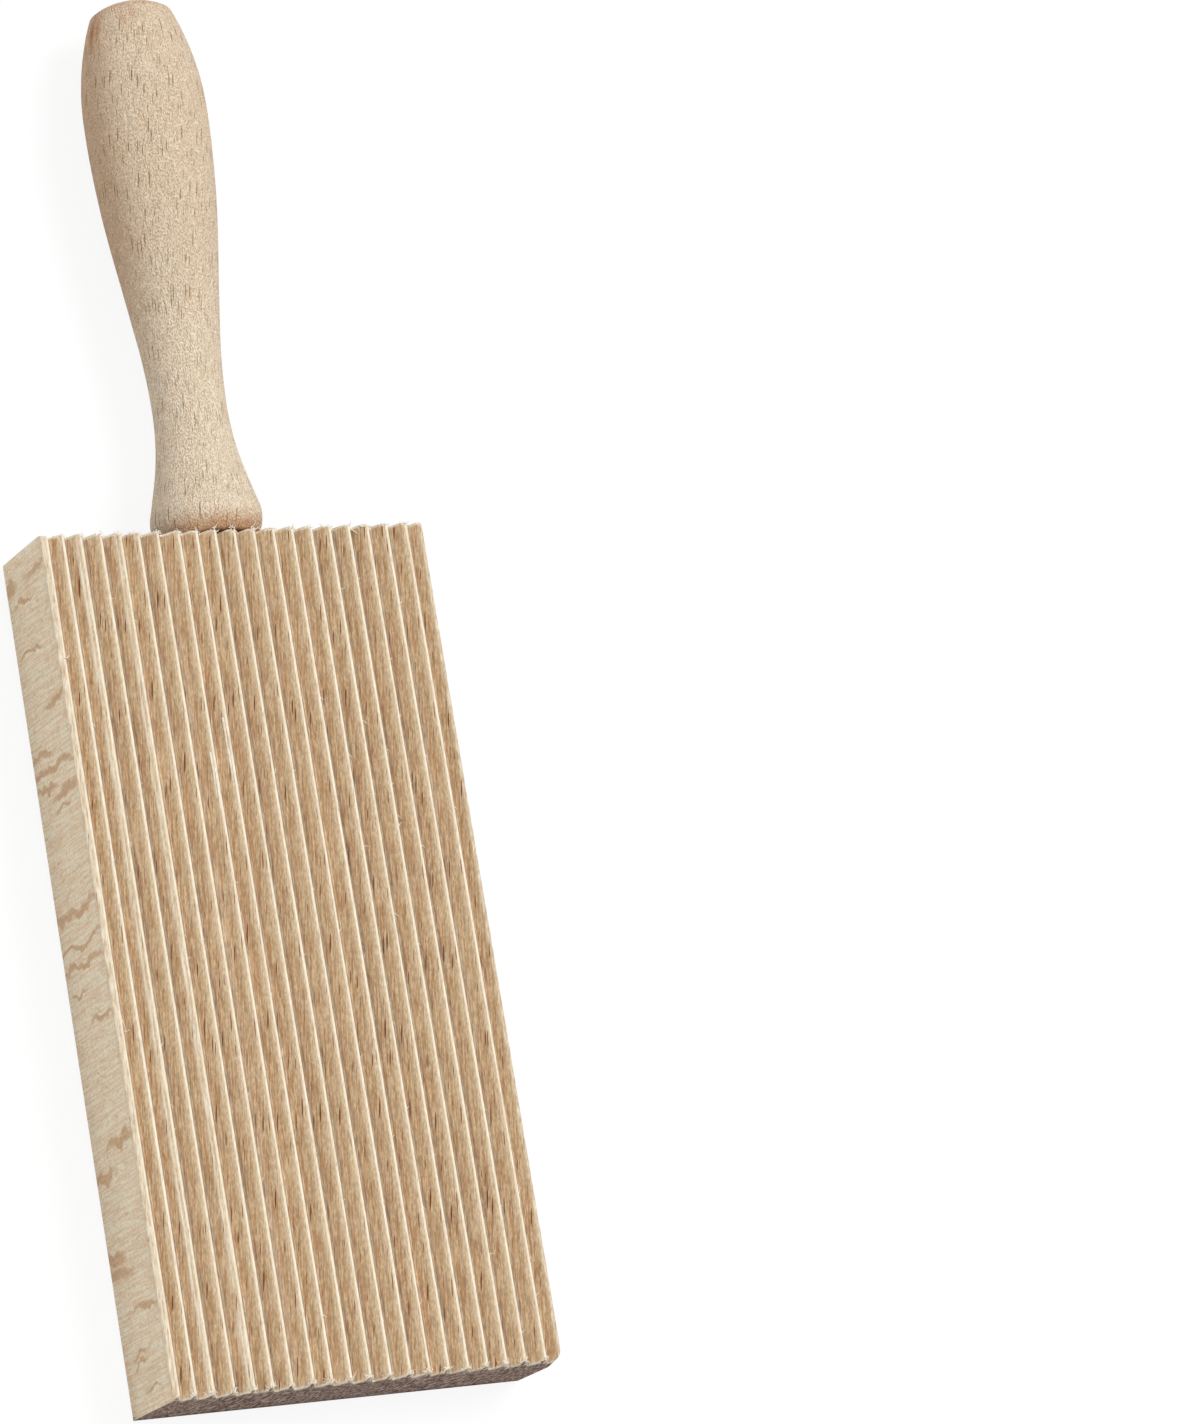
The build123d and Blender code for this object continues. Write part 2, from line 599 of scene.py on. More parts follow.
@dataclass
class RibbedBoard:
    """The beech blank with its moulded ribs, its worn ends and its bore for the tenon.

    In its methods, across is a distance from the left edge and along one from the far end.
    """

    width: float = 62.5
    length: float = 130.0
    thickness: float = 16.0
    far_end: float = -108.5
    back_face: float = 1.55
    back_arris: float = 0.3
    bore_radius: float = 4.15
    bore_depth: float = 23.5
    bore_mouth: float = 0.6
    bore_sides: int = 64
    axis_height: float = 9.55
    corner_radius: float = 2.0
    corner_fade: float = 5.0
    end_round: float = 0.55
    # How far the cutter wandered sideways and down, and how far the shoulders' burrs stand up
    cutter_sway: float = 0.07
    cutter_sink: float = 0.05
    burr_height: float = 0.05
    # How steeply a broken crest falls towards the end, and the share of its reach: at the far end
    # and at the handle's end
    far_break: tuple[float, float] = (1.1, 1.0)
    handle_break: tuple[float, float] = (0.7, 0.6)
    left_arris: float = 0.7
    right_arris: float = 0.5
    row_step: float = 0.75
    # Distances of the closer rows from either end
    end_rows: tuple[float, ...] = (0.0, 0.12, 0.26, 0.42, 0.6, 0.85, 1.15, 1.5, 2.0, 2.6)
    # Extrusions of the border under the ribs, then the levels that they go on to
    rim_drops: tuple[float, ...] = (0.15, 0.35, 0.8)
    first_level: float = 3.0
    level_step: float = 1.1
    level_count: int = 11
    ridge_centres: tuple[float, ...] = (
        0.65, 3.27, 6.18, 9.35, 12.52, 15.45, 18.55, 21.95, 24.85, 27.9, 31.05, 34.25, 37.45,
        40.55, 43.65, 46.8, 49.95, 53.1, 56.25, 59.55, 62.45,
    )
    rough_ridges: tuple[int, ...] = (2, 4)
    # Rays that show on the left edge: distance from the handle's end, nearest and furthest from
    # the crests, and width
    edge_flecks: tuple[tuple[float, ...], ...] = (
        (4.2, 0.5, 7.5, 1.0), (4.4, 13.0, 16.0, 1.6), (7.2, 7.0, 13.0, 0.5),
        (15.0, 6.0, 15.0, 0.5), (24.0, 1.0, 7.0, 1.2), (31.3, 8.0, 16.0, 0.9),
        (33.8, 0.5, 16.0, 0.9), (36.0, 9.0, 15.0, 0.8), (38.0, 0.5, 9.0, 1.2),
        (40.0, 4.0, 9.0, 0.5), (55.2, 0.5, 16.0, 1.3), (60.3, 0.5, 15.0, 0.7),
        (63.3, 1.0, 16.0, 0.8), (67.5, 9.0, 14.0, 0.5), (72.2, 1.0, 8.0, 0.8),
        (90.5, 1.0, 9.0, 1.6), (94.8, 9.5, 16.0, 1.4), (106.2, 11.0, 16.0, 1.7),
        (108.8, 9.0, 16.0, 1.9), (115.4, 1.0, 9.0, 0.8), (121.2, 7.0, 11.0, 0.6),
        (122.4, 8.0, 11.0, 0.6), (127.0, 4.0, 8.0, 0.5),
    )
    # Where the columns of a pitch lie, as shares of the way from one ridge's centre to the next
    column_shares: tuple[float, ...] = (
        0.0, 0.06, 0.085, 0.105, 0.125, 0.145, 0.165, 0.24, 0.33, 0.42, 0.475, 0.53, 0.6, 0.68,
        0.76, 0.82, 0.88, 0.94,
    )

    def __post_init__(self) -> None:
        """Works out the ribs' section, and makes room for their worn outlines at both ends."""
        self.section = RibSection(self.ridge_centres)
        # The worn outline of the ribs at the far end and at the handle's end, left to right
        self.end_lines: dict[bool, list[Point]] = {True: [], False: []}

    @property
    def crest(self) -> float:
        """Height of the crests in the frame."""
        return self.back_face + self.thickness

    @property
    def handle_end(self) -> float:
        """Where the handle's end of the board is, along Y."""
        return self.far_end + self.length

    def columns(self) -> list[float]:
        """Distances of the mesh's columns from the left edge."""
        places = [0.0, 0.15, 0.3, 0.48]
        for left, right in zip(self.ridge_centres, self.ridge_centres[1:]):
            places += [left + share * (right - left) for share in self.column_shares]
        return [*places, self.ridge_centres[-1], self.width]

    def rows(self) -> list[float]:
        """Distances of the mesh's rows from the far end, closer together near both ends."""
        near = self.end_rows
        count = round((self.length - 2 * near[-1]) / self.row_step)
        middle = [near[-1] + (self.length - 2 * near[-1]) * n / count for n in range(1, count)]
        return [*near, *middle, *(self.length - place for place in reversed(near))]

    def build(self) -> bpy.types.Object:
        """Models the board.

        Returns:
            The finished piece.
        """
        columns, rows = self.columns(), self.rows()
        deselect()
        bpy.ops.mesh.primitive_grid_add(
            x_subdivisions=len(columns) - 1, y_subdivisions=len(rows) - 1, size=1.0
        )
        board = bpy.context.object
        board.name = board.data.name = "board"
        self.place_ribs(board, columns, rows)
        self.add_sides(board)
        self.wear_edges(board)
        self.cut_bore(board)
        self.mark_wood(board)
        make_active(board)
        bpy.ops.object.shade_smooth_by_angle(angle=math.radians(32))
        return board

    def place_ribs(self, board: bpy.types.Object, columns: list[float], rows: list[float]) -> None:
        """Moves the grid's vertices to their columns and rows, at the height of the section.

        Args:
            board: the grid.
            columns: distances from the left edge.
            rows: distances from the far end.
        """
        wide, deep = len(columns) - 1, len(rows) - 1
        for vertex in board.data.vertices:
            across = columns[round((vertex.co.x + 0.5) * wide)]
            along = rows[round((vertex.co.y + 0.5) * deep)]
            drop = self.section.drop(across)
            ridge = self.section.ridge_at(across)
            off = across - self.ridge_centres[ridge]
            # A cutter that wanders a little, ridge by ridge
            inside = smooth_step(0.0, 0.6, min(across, self.width - across))
            sway = self.cutter_sway * inside * wander(along / 38, ridge * 3.1)
            sink = self.cutter_sink + self.cutter_sink * wander(along / 22, ridge * 7.7, 4.0)
            # The right shoulder breaks out in small burrs
            burst = max(wander(along / 1.3, ridge * 5.3, 9.0), 0)
            burr = self.burr_height * hump(off, 0.4, 0.1) * burst
            if ridge in self.rough_ridges and drop < 0.3:
                burr -= 0.06 + 0.07 * wander(across / 0.25, along / 2.5, 2.0)
            vertex.co = (
                (across - self.width / 2 + sway) * MM,
                (self.far_end + along) * MM,
                (self.crest - drop - sink * (1 - drop / self.section.depth) + burr) * MM,
            )

    def add_sides(self, board: bpy.types.Object) -> None:
        """Extrudes the grid's border down to the back face, eases its arris and fills it."""
        make_active(board)
        bpy.ops.object.mode_set(mode="EDIT")
        bpy.ops.mesh.select_all(action="SELECT")
        bpy.ops.mesh.region_to_loop()
        centre = (0.0, (self.far_end + self.length / 2) * MM)
        for drop in self.rim_drops:
            bpy.ops.mesh.extrude_region_move(TRANSFORM_OT_translate={"value": (0, 0, -drop * MM)})
        levels = [
            self.crest - self.first_level - self.level_step * number
            for number in range(self.level_count)
        ]
        for height in (*levels, self.back_face + self.back_arris):
            bpy.ops.mesh.extrude_region_move(TRANSFORM_OT_translate={"value": (0, 0, 0)})
            bpy.ops.transform.resize(value=(1, 1, 0), center_override=(*centre, height * MM))
        bpy.ops.mesh.extrude_region_move(
            TRANSFORM_OT_translate={"value": (0, 0, -self.back_arris * MM)}
        )
        bpy.ops.transform.resize(
            value=(1 - 2 * self.back_arris / self.width, 1 - 2 * self.back_arris / self.length, 1),
            center_override=(*centre, self.back_face * MM),
        )
        bpy.ops.mesh.edge_face_add()
        bpy.ops.mesh.select_all(action="SELECT")
        bpy.ops.mesh.normals_make_consistent(inside=False)
        bpy.ops.object.mode_set(mode="OBJECT")

    def wear_edges(self, board: bpy.types.Object) -> None:
        """Rounds the ribs' ends unevenly, frays the left arris and knocks one corner."""
        on_ribs = len(self.columns()) * len(self.rows())
        for vertex in board.data.vertices:
            x, y, z = (value / MM for value in vertex.co)
            across, along = x + self.width / 2, y - self.far_end
            below = max(self.crest - self.section.drop(across) - z, 0.0)
            from_end = min(along, self.length - along)
            at_far = along < self.length / 2
            fade = math.exp(-below / 0.3)
            # Crests broke off towards the ends
            fall, share = self.far_break if at_far else self.handle_break
            missing = max(share * self.chip_reach(across) - from_end, 0.0)
            z -= fall * missing * math.exp(-below / 0.8)
            # Ragged ends: fibres broke away as the cutter left
            ragged = 0.5 + 0.5 * wander(across / 0.7, 1.0 if at_far else 5.0)
            chipped = 0.5 + 0.5 * wander(across / 0.22, 11.0 if at_far else 15.0)
            reach = self.end_round * (0.7 + 0.8 * ragged)
            if from_end < reach and fade > 0.02:
                near = 1 - from_end / reach
                z -= (0.12 + 0.28 * ragged) * near * near * fade
            pull = (0.03 + 0.16 * ragged + 0.1 * chipped) * fade * math.exp(-from_end / 0.5)
            y += pull if at_far else -pull
            # The left arris is soft and flaky, the right one a little
            if across < self.left_arris:
                soft = 0.5 + 0.5 * wander(along / 1.6, 21.0)
                z -= 0.3 * soft * (1 - across / self.left_arris) ** 2 * fade
                x += 0.14 * soft * fade * math.exp(-across / 0.2)
            right = self.width / 2 - x
            if right < self.right_arris:
                soft = 0.5 + 0.5 * wander(along / 2.1, 31.0)
                z -= 0.1 * soft * (1 - right / self.right_arris) * fade
            x, y = self.knock_corner(x, y, self.crest - z)
            vertex.co = (x * MM, y * MM, z * MM)
            if vertex.index < on_ribs and from_end < 0.01:
                self.end_lines[at_far].append((x, y, z))
        for line in self.end_lines.values():
            line.sort()
        board.data.update()

    def chip_reach(self, across: float) -> float:
        """How far from the far end a ridge's crest broke off.

        Args:
            across: distance from the left edge.

        Returns:
            The length that is missing there.
        """
        ridge = self.section.ridge_at(across)
        off = across - self.ridge_centres[ridge]
        uneven = 0.5 + 0.5 * wander(ridge * 3.7, 41.0)
        return (0.35 + 0.75 * uneven) * hump(off, 0.22, 0.42)

    def knock_corner(self, x: float, y: float, depth: float) -> tuple[float, float]:
        """Brings a point of the knocked corner in onto a round that fades with depth.

        Args:
            x: the point's place across the board.
            y: the point's place along the board.
            depth: how far it lies below the crests.

        Returns:
            Its new place across and along the board.
        """
        radius = self.corner_radius * max(1 - depth / self.corner_fade, 0.0)
        if radius <= 0:
            return x, y
        centre_x = self.width / 2 - radius
        centre_y = self.far_end + radius
        if x <= centre_x or y >= centre_y:
            return x, y
        away = math.hypot(x - centre_x, y - centre_y)
        if away <= radius:
            return x, y
        return centre_x + (x - centre_x) * radius / away, centre_y + (y - centre_y) * radius / away

    def cut_bore(self, board: bpy.types.Object) -> None:
        """Drills the blind hole for the tenon, with its widened mouth."""
        deselect()
        # Both cutters stand out of the board by half of this
        spare = 1
        for wider, depth in ((0.0, self.bore_depth), (self.bore_mouth + spare, self.bore_mouth)):
            bpy.ops.mesh.primitive_cone_add(
                vertices=self.bore_sides,
                radius1=(self.bore_radius + wider) * MM,
                radius2=self.bore_radius * MM,
                depth=(depth + spare) * MM,
                location=(0, (self.handle_end + spare / 2 - depth / 2) * MM, self.axis_height * MM),
                rotation=(math.radians(90), 0, 0),
            )
            cutter = bpy.context.object
            bpy.ops.object.transform_apply(location=True, rotation=True, scale=True)
            make_active(board)
            modifier = board.modifiers.new("bore", "BOOLEAN")
            modifier.operation = "DIFFERENCE"
            modifier.solver = "EXACT"
            modifier.object = cutter
            bpy.ops.object.modifier_apply(modifier=modifier.name)
            bpy.data.objects.remove(cutter)

    def mark_wood(self, board: bpy.types.Object) -> None:
        """Writes per vertex where wood is torn and worn and where light and shade are painted."""
        torn_and_painted_light, worn_and_painted_shade, deep = [], [], []
        for vertex in board.data.vertices:
            x, y, z = (value / MM for value in vertex.co)
            across, along = min(max(x + self.width / 2, 0.0), self.width), y - self.far_end
            ridge = self.section.ridge_at(across)
            off = across - self.ridge_centres[ridge]
            drop = self.section.drop(across)
            below = max(self.crest - drop - z - 0.1, 0.0)
            top = math.exp(-below / 0.35)
            # Painted light at the foot of the left-facing flanks, which lifts their shade
            painted_fill_light = 0.16 * smooth_step(0.9, 1.6, drop) * top if off < 0 else 0.0
            share = max(self.torn_share(across, along, ridge, off) * top, painted_fill_light)
            torn_and_painted_light.append(min(max(share, 0.0), 1.0))
            worn_and_painted_shade.append((1 - smooth_step(0.1, 1.0, drop)) * top)
            # Painted shade: the right-facing flank is seen edge-on beside the notch, and both are
            # painted as one dark line
            notch = smooth_step(0.15, 0.5, drop) if off > 0 else 0.0
            notch = max(notch, smooth_step(1.82, 1.9, drop))
            notch *= 0.62 + 0.4 * wander(along / 1.2, ridge * 4.1, 51.0)
            # Painted shade darkens the far end towards its lower arris
            low = (1 - smooth_step(0.25, 1.5, z - self.back_face)) if along < 0.5 else 0.0
            deep.append(max(min(max(notch, 0.0), 1.0) * math.exp(-below / 0.8), low))
        write_marks(board, {Mark.TORN: torn_and_painted_light, Mark.WORN: worn_and_painted_shade, Mark.DEEP: deep})

    def torn_share(self, across: float, along: float, ridge: int, off: float) -> float:
        """How torn the wood of the ribbed face is.

        Args:
            across: distance from the left edge.
            along: distance from the far end.
            ridge: number of the nearest ridge.
            off: distance to the right of its centre.

        Returns:
            The share of torn fibres, which may lie outside 0 to 1.
        """
        from_end = min(along, self.length - along)
        # Each ridge's right shoulder is a bright torn line
        rough = 0.5 + 0.5 * wander(along / 1.1, ridge * 2.3, across / 0.3)
        share = hump(off, 0.43, 0.28, 4) * (1.05 + 0.5 * rough)
        if ridge in self.rough_ridges and -0.75 < off < 0.3:
            # The rough ridges have a second one on the left, and patches between the two
            patch = 0.6 + 0.9 * wander(along / 6.0, ridge * 1.7, 13.0)
            second = hump(off, -0.42, 0.13, 4) * patch
            share = max(share, second, 0.12 + 1.0 * wander(along / 5.0, across / 0.14, 3.0))
        # The left arris is a flaky band with a wavy edge
        if across < 1.3:
            flaky = 0.42 + 0.9 * wander(along / 2.0, across / 0.25, 8.0)
            edge = across + 0.22 * wander(along / 1.4, 12.0)
            share = max(share * 0.8, flaky * (1 - smooth_step(0.9, 1.15, edge)))
        if self.width - across < 0.5:
            share = max(share, 0.2 + 1.1 * wander(along / 1.2, across / 0.2, 28.0))
        # Both ends have a torn rim, which at the far end lies behind the broken crests
        uneven = 1.0 + 0.8 * wander(across / 0.5, along / 0.5, 6.0)
        if along < self.length / 2:
            rim = hump(from_end, max(self.chip_reach(across), 0.12), 0.2)
            return max(share, 1.3 * uneven * rim)
        return max(share, 1.4 * uneven * (1 - smooth_step(0.25, 0.55, from_end)))

    def place_flecks(self) -> tuple[Fleck, ...]:
        """Turns the rays on the left edge into places in the frame."""
        return tuple(
            Fleck(
                y=self.handle_end - place,
                z=self.crest - (high + low) / 2,
                wide=width * 0.55,
                tall=(low - high) / 2 + 0.8,
            )
            for place, high, low, width in self.edge_flecks
        )

    def finishes(self) -> list[Beech]:
        """The board's surfaces, each as its cut left it."""
        return [
            # A spindle cutter leaves the ribs' beech dull, streaked and dashed with ray ends
            Beech(
                Cut.MOULDED, Spread.FACE, pale="f3dbb6", tan="d3a97e", fleck="86461c",
                worn_and_painted_shade="ceb593",
                dashes=(
                    Dash((0.62, 13.0), 0.1, 0.7, 1.0), Dash((0.4, 7.0), 0.12, 0.7, 0.45),
                    Dash((0.36, 24.0), 0.13, 0.9, 0.34),
                ),
                streak_cell=(0.2, 10.0, 0.5), streak_from=0.34, streak_to=0.64, warm="d8a678",
                warm_share=0.04, mottle_cell=(0.19, 0.8, 0.35), mottle_share=0.15,
                bump_depth=0.08,
            ),
            # A fine saw leaves the edge pale and matt, with the rays as soft wavy bands. Its
            # colours
            # are also painted lighter than the wood: painted light on the board's sides
            SawnBeech(
                Cut.SAWN, Spread.FACE, pale="fff2d8", tan="f6dcba", fleck="c8925a",
                streak_cell=(2.0, 0.3, 7.0), warm="dfbd98", warm_share=0.15, bump_depth=0.13,
                flecks=self.place_flecks(),
            ),
            # Sawn across, the open pores swallow the light: dark, with pale lines where rays run
            Beech(
                Cut.CROSSCUT, Spread.END, pale="c9ae9e", tan="624e44", fleck="2a201e",
                dashes=(Dash((0.42, 2.0), 0.22, 0.7, 0.7),),
                streak_cell=(0.3, 3.0, 1.6), streak_to=0.66, warm="9a7468", warm_share=0.15,
                mottle_cell=(0.24, 0.4, 0.5), mottle_share=0.3, bump_depth=0.12, roughness=0.9,
            ),
            # The planed back is smoother and paler than the ribs, with the same ray ends
            Beech(
                Cut.PLANED, Spread.FACE, pale="faeacf", tan="ebd2ae", fleck="99602f",
                dashes=(Dash((0.62, 13.0), 0.1, 0.7, 0.8), Dash((0.4, 7.0), 0.12, 0.7, 0.4)),
                streak_cell=(0.3, 12.0, 0.5), streak_from=0.34, streak_to=0.66,
                mottle_cell=(0.2, 0.6, 0.3), mottle_share=0.08,
            ),
        ]

    def cut_of(self, normal: Vector, lowest: float) -> Cut:
        """Which cut made a face of the board.

        Args:
            normal: the face's normal.
            lowest: the height of its lowest corner.

        Returns:
            The face's cut.
        """
        if abs(normal.y) > 0.62:
            return Cut.CROSSCUT
        if normal.z < -0.3 and lowest < self.back_face + self.back_arris:
            return Cut.PLANED
        # The ribs end above the first level of the sides
        if abs(normal.x) > 0.95 or lowest < self.crest - 3.2:
            return Cut.SAWN
        return Cut.MOULDED

    def dress(self, board: bpy.types.Object) -> None:
        """Gives the ribs, the sides, the ends and the back their materials."""
        finishes = self.finishes()
        numbers = {finish.cut: number for number, finish in enumerate(finishes)}
        for finish in finishes:
            board.data.materials.append(finish.material())
        for face in board.data.polygons:
            lowest = min(board.data.vertices[number].co.z for number in face.vertices) / MM
            face.material_index = numbers[self.cut_of(face.normal, lowest)]


# ------------------------------------------------------------------------------------------ handle


def arc(centre: Station, across: float, up: float, turns: list[float]) -> list[Station]:
    """Stations on a circular arc of the handle's section.

    Args:
        centre: the arc's centre.
        across: its radius, negative where the centre lies outside the handle.
        up: its radius again, negative where the arc is followed backwards.
        turns: the stations' angles, in radians.

    Returns:
        One station for each angle.
    """
    radius, height = centre
    return [(radius + across * math.cos(turn), height + up * math.sin(turn)) for turn in turns]


@dataclass
class TurnedHandle:
    """The turned beech handle with its tenon, one ring of vertices after another along its axis.

    Bead, neck, belly and rim are stations of its section.
    """

    start: float = 21.5
    axis_height: float = 9.55
    length: float = 87.0
    tenon_radius: float = 4.0
    tenon_length: float = 22.0
    tenon_chamfer: float = 0.8
    # How far under the foot the tenon's side ends
    tenon_stop: float = 0.02
    bead: Station = (8.55, 3.65)
    bead_section: float = 5.5
    neck: Station = (5.7, 21.25)
    neck_section: float = 96.0
    belly: Station = (9.55, 68.3)
    rim: Station = (6.35, 85.0)
    rim_round: float = 0.8
    flare_steeper: float = 0.57
    swell_steeper: float = 0.51
    # The handle stands a little off its tenon's axis and leans: how far across, foot and tip
    foot_shift: float = -0.55
    tip_shift: float = 0.3
    # Height, angle from the top towards +X, spread of both, and strength
    tip_stains: tuple[tuple[float, ...], ...] = (
        (81.5, -80.0, 4.5, 2.6, 0.9), (81.8, -69.0, 3.0, 2.0, 0.7), (83.0, -33.0, 3.5, 1.7, 0.45),
        (83.0, -19.0, 3.5, 1.7, 0.4), (84.5, -26.0, 9.0, 0.5, 0.3), (85.1, -20.0, 60.0, 0.45, 0.3),
    )
    ring_count: int = 128
    foot_rings: int = 8
    arc_rings: int = 8
    shoulder_rings: int = 14

    def sweep(
        self, first: Station, last: Station, steeper: float, section: float
    ) -> list[Station]:
        """Arc, straight taper and arc between two places where the side runs along the axis.

        Args:
            first: where the sweep starts.
            last: where it ends.
            steeper: how much steeper than its chord the taper is.
            section: radius of the first arc.

        Returns:
            The stations, without the first.
        """
        rise, step = last[1] - first[1], abs(last[0] - first[0])
        angle = math.atan2(step, rise) * (1 + steeper)
        both = (rise * math.sin(angle) - step * math.cos(angle)) / (1 - math.cos(angle))
        other = both - section
        side = 1 if last[0] > first[0] else -1
        turns = [angle * number / self.arc_rings for number in range(self.arc_rings + 1)]
        leaving = arc((first[0] + side * section, first[1]), -side * section, section, turns[1:])
        arriving = arc((last[0] - side * other, last[1]), side * other, -other, turns[::-1])
        # Four more stations share the long straight taper
        low, high = leaving[-1], arriving[0]
        taper = [
            (low[0] + (high[0] - low[0]) * share, low[1] + (high[1] - low[1]) * share)
            for share in (0.2, 0.4, 0.6, 0.8)
        ]
        return leaving + taper + arriving

    def profile(self) -> list[Station]:
        """Works out the handle's section.

        Returns:
            The station of each ring, from the tenon's end to the tip.
        """
        lowest = math.asin(self.bead[1] / self.bead_section)
        turns = [-lowest * (1 - n / (self.foot_rings - 1)) for n in range(self.foot_rings)]
        bead_centre = (self.bead[0] - self.bead_section, self.bead[1])
        foot = arc(bead_centre, self.bead_section, self.bead_section, turns)
        tenon = [
            (self.tenon_radius - self.tenon_chamfer, -self.tenon_length),
            (self.tenon_radius, self.tenon_chamfer - self.tenon_length),
            (self.tenon_radius, -self.tenon_stop),
        ]
        flare = self.sweep(self.bead, self.neck, self.flare_steeper, self.bead_section)
        swell = self.sweep(self.neck, self.belly, self.swell_steeper, self.neck_section)
        step, rise = self.belly[0] - self.rim[0], self.rim[1] - self.belly[1]
        radius = (step * step + rise * rise) / (2 * step)
        full = math.asin(rise / radius)
        turns = [full * n / self.shoulder_rings for n in range(1, self.shoulder_rings + 1)]
        shoulder = arc((self.belly[0] - radius, self.belly[1]), radius, radius, turns)
        crown_rise = self.length - self.rim[1]
        crown_radius = (self.rim[0] ** 2 + crown_rise**2) / (2 * crown_rise)
        lowered = self.length - crown_radius
        crown = [
            (self.rim[0] * share, lowered + math.sqrt(crown_radius**2 - (self.rim[0] * share) ** 2))
            for share in (0.93, 0.84, 0.7, 0.52, 0.34, 0.16, 0.05)
        ]
        return [*tenon, *foot, *flare, *swell, *shoulder, *crown]

    def build(self) -> bpy.types.Object:
        """Turns the handle.

        Returns:
            The finished piece.
        """
        rings = self.profile()
        deselect()
        radius, height = rings[0]
        bpy.ops.mesh.primitive_circle_add(
            vertices=self.ring_count,
            radius=radius * MM,
            fill_type="NGON",
            location=(0, (self.start + height) * MM, self.axis_height * MM),
            rotation=(math.radians(90), 0, 0),
        )
        handle = bpy.context.object
        handle.name = handle.data.name = "handle"
        bpy.ops.object.transform_apply(location=True, rotation=True, scale=True)
        bpy.ops.object.mode_set(mode="EDIT")
        bpy.ops.mesh.select_all(action="SELECT")
        for wider, higher in rings[1:]:
            bpy.ops.mesh.extrude_region_move(
                TRANSFORM_OT_translate={"value": (0, (higher - height) * MM, 0)}
            )
            bpy.ops.transform.resize(
                value=(wider / radius, 1, wider / radius),
                center_override=(0, (self.start + higher) * MM, self.axis_height * MM),
            )
            radius, height = wider, higher
        bpy.ops.mesh.select_all(action="SELECT")
        bpy.ops.mesh.normals_make_consistent(inside=False)
        bpy.ops.object.mode_set(mode="OBJECT")
        self.round_rim(handle)
        self.add_lathe_marks(handle)
        self.mark_stains_and_painted_light(handle)
        make_active(handle)
        bpy.ops.object.shade_smooth_by_angle(angle=math.radians(40))
        return handle

    def round_rim(self, handle: bpy.types.Object) -> None:
        """Bevels the rim between the shoulder and the crown, picked by its place."""
        make_active(handle)
        rim_y = (self.start + self.rim[1]) * MM
        at_rim = []
        for vertex in handle.data.vertices:
            radius = math.hypot(vertex.co.x, vertex.co.z - self.axis_height * MM)
            level = abs(vertex.co.y - rim_y) < 0.02 * MM
            at_rim.append(level and abs(radius - self.rim[0] * MM) < 0.05 * MM)
        for vertex in handle.data.vertices:
            vertex.select = at_rim[vertex.index]
        for edge in handle.data.edges:
            edge.select = all(at_rim[number] for number in edge.vertices)
        for face in handle.data.polygons:
            face.select = False
        bpy.ops.object.mode_set(mode="EDIT")
        bpy.context.tool_settings.mesh_select_mode = (False, True, False)
        bpy.ops.mesh.bevel(offset=0.3 * self.rim_round * MM, segments=3)
        bpy.ops.object.mode_set(mode="OBJECT")

    def add_lathe_marks(self, handle: bpy.types.Object) -> None:
        """Makes the handle a hair uneven along and around its axis, and leans it a little."""
        for vertex in handle.data.vertices:
            x, z = vertex.co.x / MM, vertex.co.z / MM - self.axis_height
            height = vertex.co.y / MM - self.start
            radius = math.hypot(x, z)
            if height < 0.5 or radius < 1e-4:
                continue
            # Only inwards, so that the handle stays inside its turned shape
            ease = -0.02 + 0.02 * wander(height / 2.2, 3.0)
            ease += 0.02 * wander(x / 8, height / 20, z / 8)
            grown = (radius + min(ease, 0.0) * smooth_step(0.5, 2.0, height)) / radius
            vertex.co = (x * grown * MM, vertex.co.y, (z * grown + self.axis_height) * MM)
        for vertex in handle.data.vertices:
            height = vertex.co.y / MM - self.start
            if height > -self.tenon_stop / 2:
                lean = (self.tip_shift - self.foot_shift) * height / self.length
                vertex.co.x += (self.foot_shift + lean) * MM

    def mark_stains_and_painted_light(self, handle: bpy.types.Object) -> None:
        """Writes the tip's stains, and painted shade and reflected light at the foot and belly."""
        stain_and_painted_reflection, warm, painted_foot_shade = [], [], []
        for vertex in handle.data.vertices:
            x, z = vertex.co.x / MM, vertex.co.z / MM - self.axis_height
            height = vertex.co.y / MM - self.start
            around = math.degrees(math.atan2(x, z))
            # Painted reflected light and shade from the board: a brown band round the foot, most
            # of it on top. The few streaks at the tip are stains
            share = 0.68 * (1 - smooth_step(0.6, 3.8, height + 1.1 * wander(x / 3, z / 3)))
            share *= 0.6 + 0.4 * math.cos(math.radians(around - 18))
            for place, middle, wide, tall, strength in self.tip_stains:
                blob = math.exp(-(((around - middle) / wide) ** 2) - ((height - place) / tall) ** 2)
                share = max(share, strength * blob)
            stain_and_painted_reflection.append(min(max(share, 0.0), 1.0))
            # Painted shade: the belly's left side, away from the key light, is darker and
            # warmer; the rest of the belly gets a little warmer tone
            left = (1 - smooth_step(-100.0, -30.0, around)) * smooth_step(20.0, 55.0, height)
            warm.append(min(left + 0.3 * smooth_step(25.0, 50.0, height), 1.0))
            # Painted shade in the gap between the foot and the board's end
            painted_foot_shade.append(1 - smooth_step(0.15, 0.5, height))
        write_marks(handle, {Mark.STAIN: stain_and_painted_reflection, Mark.WORN: warm, Mark.DEEP: painted_foot_shade})

    def dress(self, handle: bpy.types.Object) -> None:
        """Gives the handle its beech, turned and sanded across: matt, with a sand-like tooth."""
